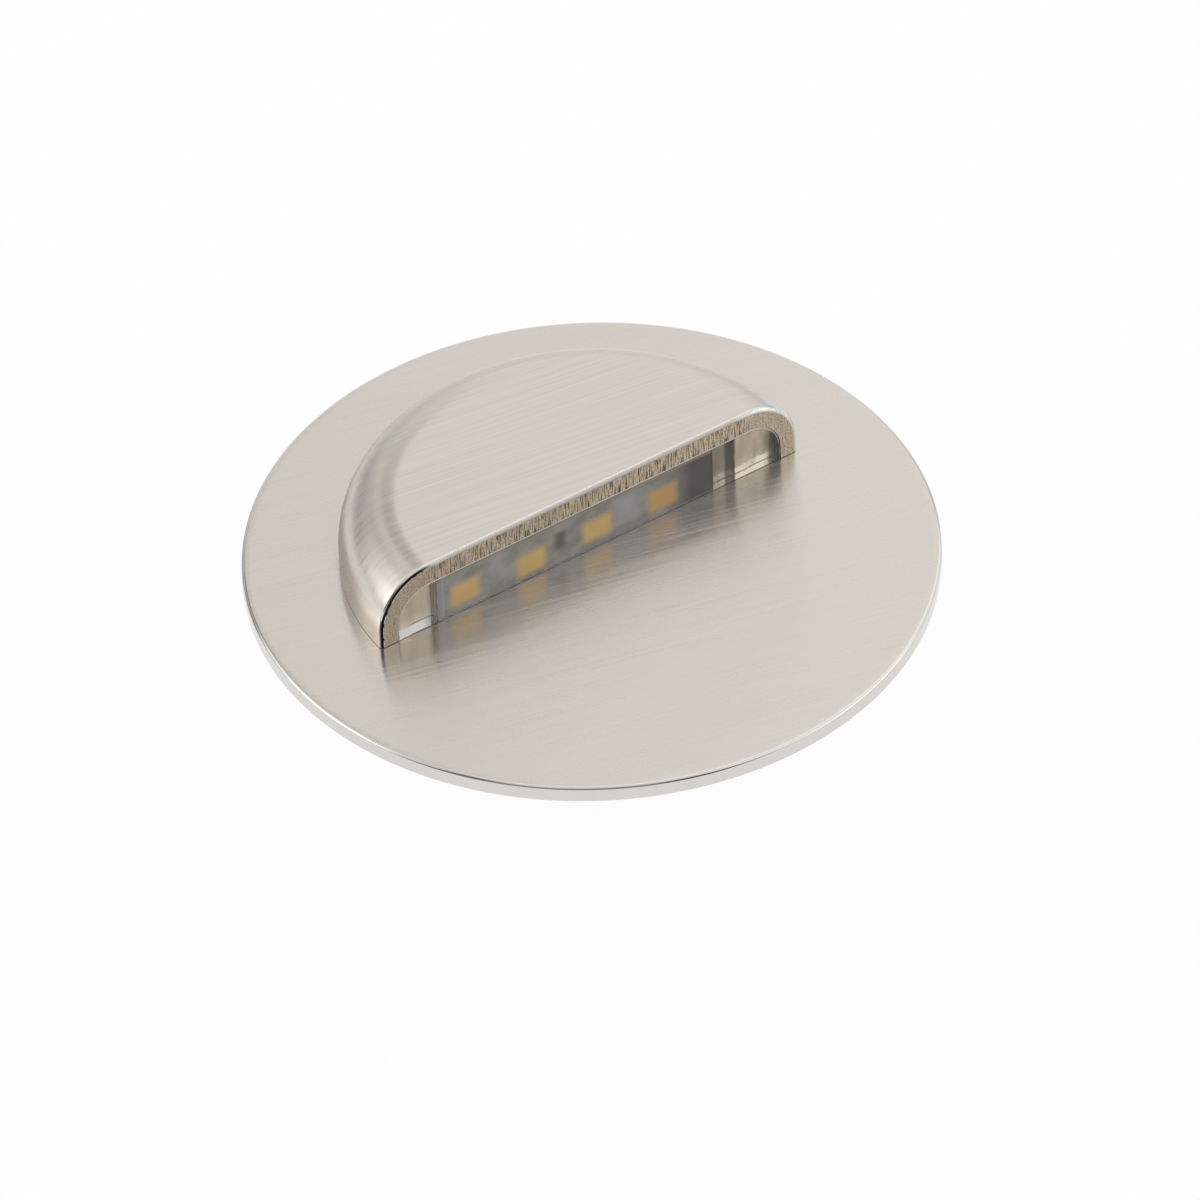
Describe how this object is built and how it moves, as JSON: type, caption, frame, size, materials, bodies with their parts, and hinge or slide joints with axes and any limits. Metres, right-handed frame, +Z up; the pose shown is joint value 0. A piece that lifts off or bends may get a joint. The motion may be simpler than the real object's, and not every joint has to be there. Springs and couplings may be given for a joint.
{
  "type": "recessed deck light",
  "caption": "Recessed deck light: round brushed steel face with a half-moon hood over an LED strip, on a barrel with sprung retaining clips and a cable gland.",
  "frame": {"origin": "middle of the face on the deck's surface, which is the underside of the flange gasket, on the axis of the bored hole", "axes": "+Z up out of the deck along the hole's axis, +X along the straight edge of the hood, the hood's mouth faces -Y"},
  "size_m": [0.06, 0.06, 0.0284],
  "materials": {
    "brushed_steel": "brushed",
    "polished_steel": "polished",
    "screw_steel": "satin",
    "clip_steel": "satin",
    "spring_steel": "bright",
    "cast_aluminium": "satin",
    "clear_resin": "clear",
    "frosted_resin": "frosted",
    "led_board": "matt",
    "led_package": "matt",
    "phosphor": "satin",
    "ceramic": "matt",
    "rubber": "matt",
    "nylon": "matt",
    "circuit_board": "satin",
    "ferrite": "matt",
    "epoxy": "matt",
    "terminal": "matt",
    "red_sheath": "satin",
    "black_sheath": "satin"
  },
  "bodies": {
    "root": {"face_plate": "brushed_steel", "hood": "brushed_steel", "flange_gasket": "rubber", "hood_screw_1": "screw_steel", "hood_screw_2": "screw_steel", "hood_screw_3": "screw_steel", "window": "clear_resin", "diffuser": "frosted_resin", "led_board": "led_board", "led_1": "led_package", "led_phosphor_1": "phosphor", "led_2": "led_package", "led_phosphor_2": "phosphor", "led_3": "led_package", "led_phosphor_3": "phosphor", "led_4": "led_package", "led_phosphor_4": "phosphor", "resistor": "ceramic", "led_carrier": "polished_steel", "lead_red": "red_sheath", "lead_black": "black_sheath", "wire_grommet": "rubber", "barrel": "cast_aluminium", "rear_cap": "nylon", "cap_seal": "rubber", "cap_screw_1": "screw_steel", "cap_screw_2": "screw_steel", "cap_screw_3": "screw_steel", "driver_board": "circuit_board", "inductor": "ferrite", "capacitor": "cast_aluminium", "driver_chip": "epoxy", "rectifier": "epoxy", "input_terminal": "terminal", "gland_body": "nylon", "gland_locknut": "nylon", "gland_seal": "rubber", "gland_nut": "nylon", "clip_pin_right": "screw_steel", "clip_spring_right": "spring_steel", "clip_pin_left": "screw_steel", "clip_spring_left": "spring_steel"},
    "right_clip": {"clip_arm_right": "clip_steel"},
    "left_clip": {"clip_arm_left": "clip_steel"}
  },
  "joints": [
    {"name": "right_clip_hinge", "type": "hinge", "parent": "root", "child": "right_clip", "pos_m": [0.0135, 0, -0.0087], "axis": [0, -1, 0], "range_deg": [0, 20], "stiffness_Nm_per_rad": 0.01, "springref_deg": -34.38, "deforming": ["clip_spring_right"]},
    {"name": "left_clip_hinge", "type": "hinge", "parent": "root", "child": "left_clip", "pos_m": [-0.0135, 0, -0.0087], "axis": [0, 1, 0], "range_deg": [0, 20], "stiffness_Nm_per_rad": 0.01, "springref_deg": -34.38, "deforming": ["clip_spring_left"]}
  ]
}
